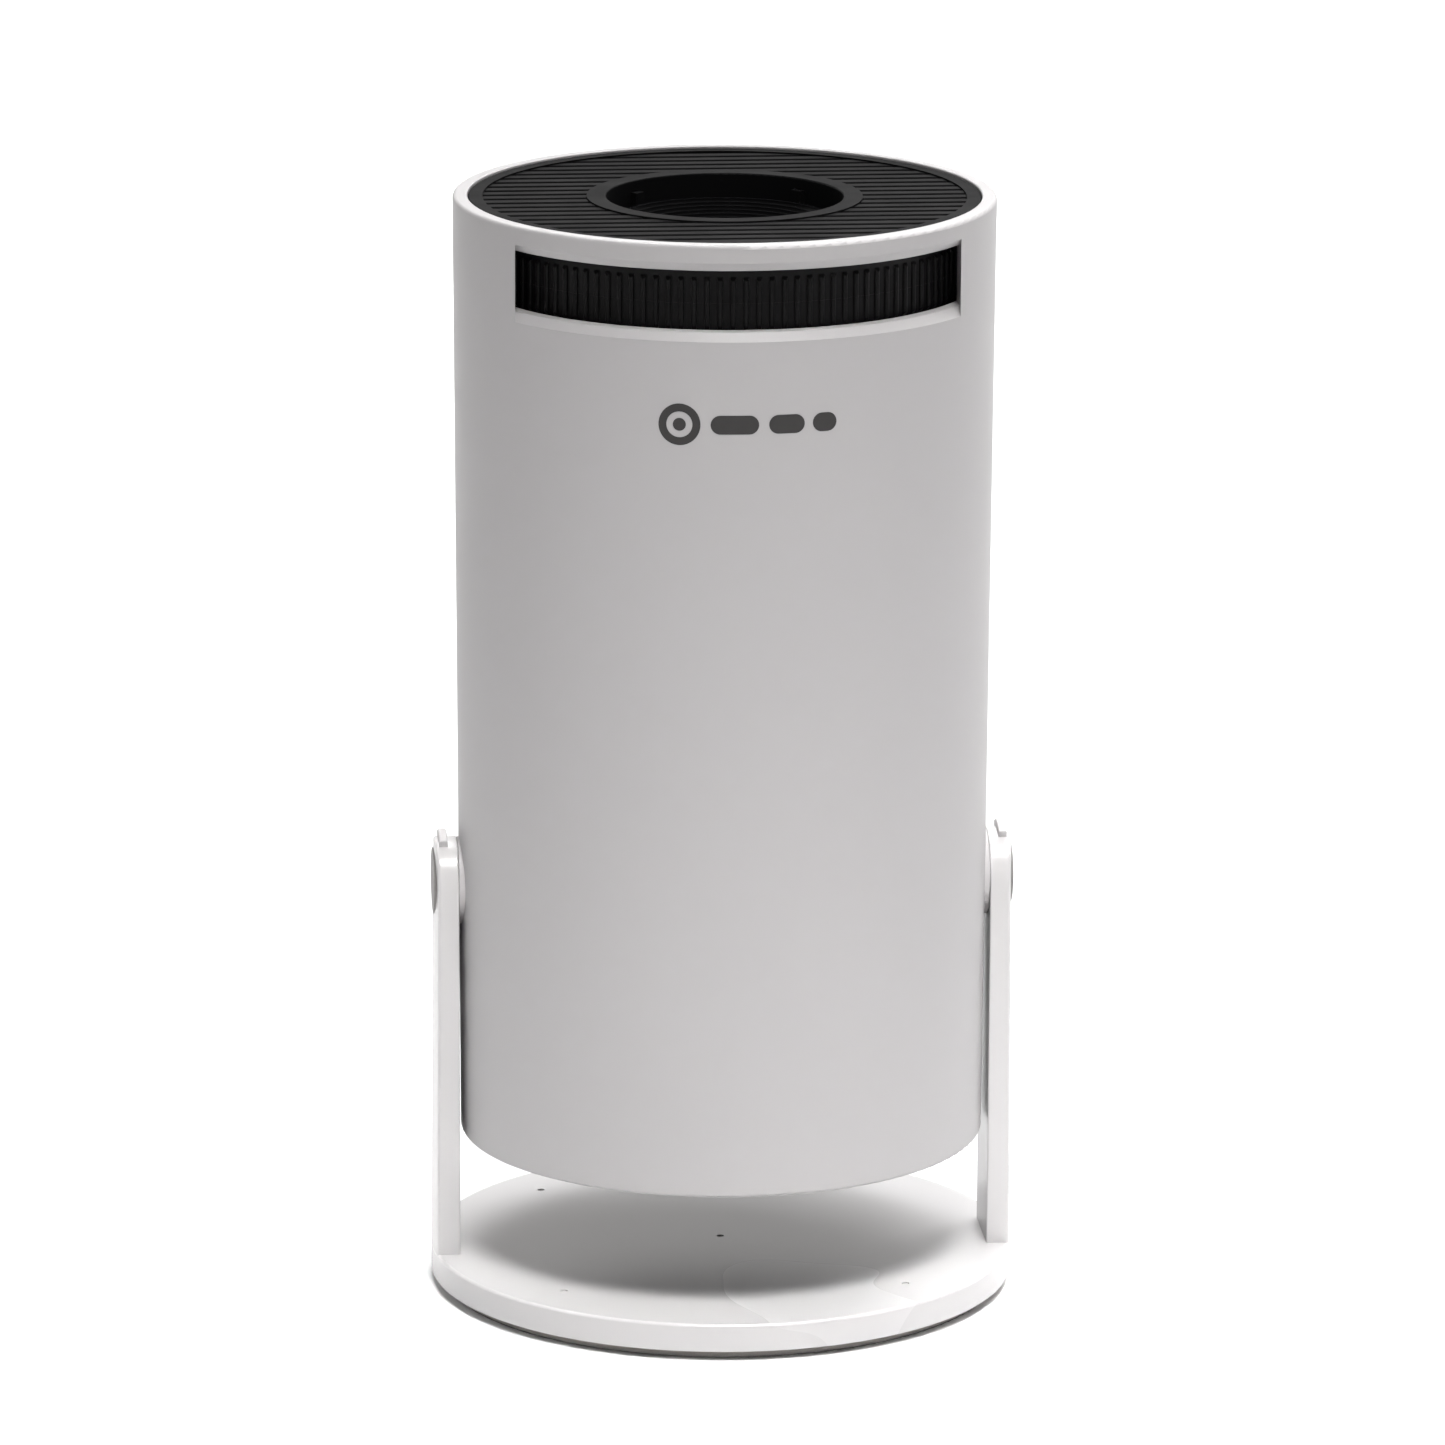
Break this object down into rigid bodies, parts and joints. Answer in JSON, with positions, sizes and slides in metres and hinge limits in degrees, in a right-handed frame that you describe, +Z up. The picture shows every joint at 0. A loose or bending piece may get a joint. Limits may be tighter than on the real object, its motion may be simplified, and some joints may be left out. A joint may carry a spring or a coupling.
{
  "type": "portable projector",
  "caption": "Cylindrical mini projector that tilts in a U-shaped stand, with a ribbed focus ring in a side window, a slatted front, a recessed lens and a rear cover with sockets.",
  "frame": {"origin": "centre of the rubber pad's underside, where the stand rests on a table", "axes": "+Z up along the upright tube, the longest extent; -Y out of the focus window; X along the tilt axis"},
  "size_m": [0.12, 0.12, 0.228],
  "materials": {
    "white_matte": "white fine-textured paint on moulded plastic",
    "white_gloss": "white moulded plastic, polished",
    "black_plastic": "black moulded plastic, satin",
    "ring_black": "black moulded plastic, ribbed",
    "grey_rubber": "grey rubber, matte",
    "bush_plastic": "natural acetal",
    "steel": "zinc-plated steel",
    "aluminium": "extruded, uncoated",
    "clear_glass": "coated optical glass",
    "panel_glass": "dark liquid crystal panel",
    "light_pipe": "frosted clear plastic",
    "circuit_board": "green solder mask"
  },
  "bodies": {
    "stand": {"stand_yoke": "white_gloss", "ballast_plate": "steel", "base_screws": "steel", "rubber_pad": "grey_rubber", "left_crown_key": "white_gloss", "left_hinge_cap": "grey_rubber", "left_hinge_bush": "bush_plastic", "left_friction_washer": "steel", "right_crown_key": "white_gloss", "right_hinge_cap": "grey_rubber", "right_hinge_bush": "bush_plastic", "right_friction_washer": "steel"},
    "projector": {"outer_tube": "white_matte", "front_bezel": "black_plastic", "rear_cover": "black_plastic", "rear_screws": "steel", "lens_sleeve": "black_plastic", "plate_screws": "steel", "engine_housing": "black_plastic", "engine_screws": "steel", "front_field_lens": "clear_glass", "lcd_panel": "panel_glass", "rear_field_lens": "clear_glass", "heat_glass": "clear_glass", "condenser_lens": "clear_glass", "led_module": "aluminium", "heat_sink": "aluminium", "fan_frame": "black_plastic", "fan_screws": "steel", "main_board": "circuit_board", "processor_heat_sink": "aluminium", "board_screws": "steel", "hdmi_socket": "steel", "usb_socket": "steel", "audio_jack": "black_plastic", "dc_jack": "black_plastic", "speaker": "black_plastic", "power_switch": "black_plastic", "indicator_light": "light_pipe", "left_pivot_hub": "white_gloss", "left_hinge_screw": "steel", "left_hinge_nut": "steel", "right_pivot_hub": "white_gloss", "right_hinge_screw": "steel", "right_hinge_nut": "steel"},
    "focus": {"focus_ring": "ring_black"},
    "barrel": {"lens_barrel": "black_plastic", "cam_pins": "steel", "front_lens": "clear_glass", "middle_lens": "clear_glass", "rear_lens": "clear_glass", "front_lens_ring": "black_plastic", "front_spacer": "black_plastic", "rear_spacer": "black_plastic", "lens_retainer": "black_plastic"},
    "fan": {"fan_rotor": "black_plastic"},
    "button": {"power_button": "ring_black"}
  },
  "joints": [
    {"name": "tilt", "type": "hinge", "parent": "stand", "child": "projector", "pos_m": [0, 0, 0.0855], "axis": [1, 0, 0], "range_deg": [-90, 90]},
    {"name": "focus_turn", "type": "hinge", "parent": "projector", "child": "focus", "pos_m": [0, 0, 0.2], "axis": [0, 0, 1], "range_deg": [-40, 40]},
    {"name": "barrel_slide", "type": "slide", "parent": "projector", "child": "barrel", "axis": [0, 0, 1], "range_m": [-0.00245, 0.00245]},
    {"name": "fan_spin", "type": "hinge", "parent": "projector", "child": "fan", "pos_m": [0, 0, 0.053], "axis": [0, 0, 1], "continuous": true},
    {"name": "power_press", "type": "slide", "parent": "projector", "child": "button", "axis": [0, 0, 1], "range_m": [0, 0.0008], "stiffness_N_per_m": 800, "springref_m": -0.0005}
  ],
  "couplings": [
    {"joint": "barrel_slide", "follows": "focus_turn", "m_per_rad": 0.0034377}
  ]
}
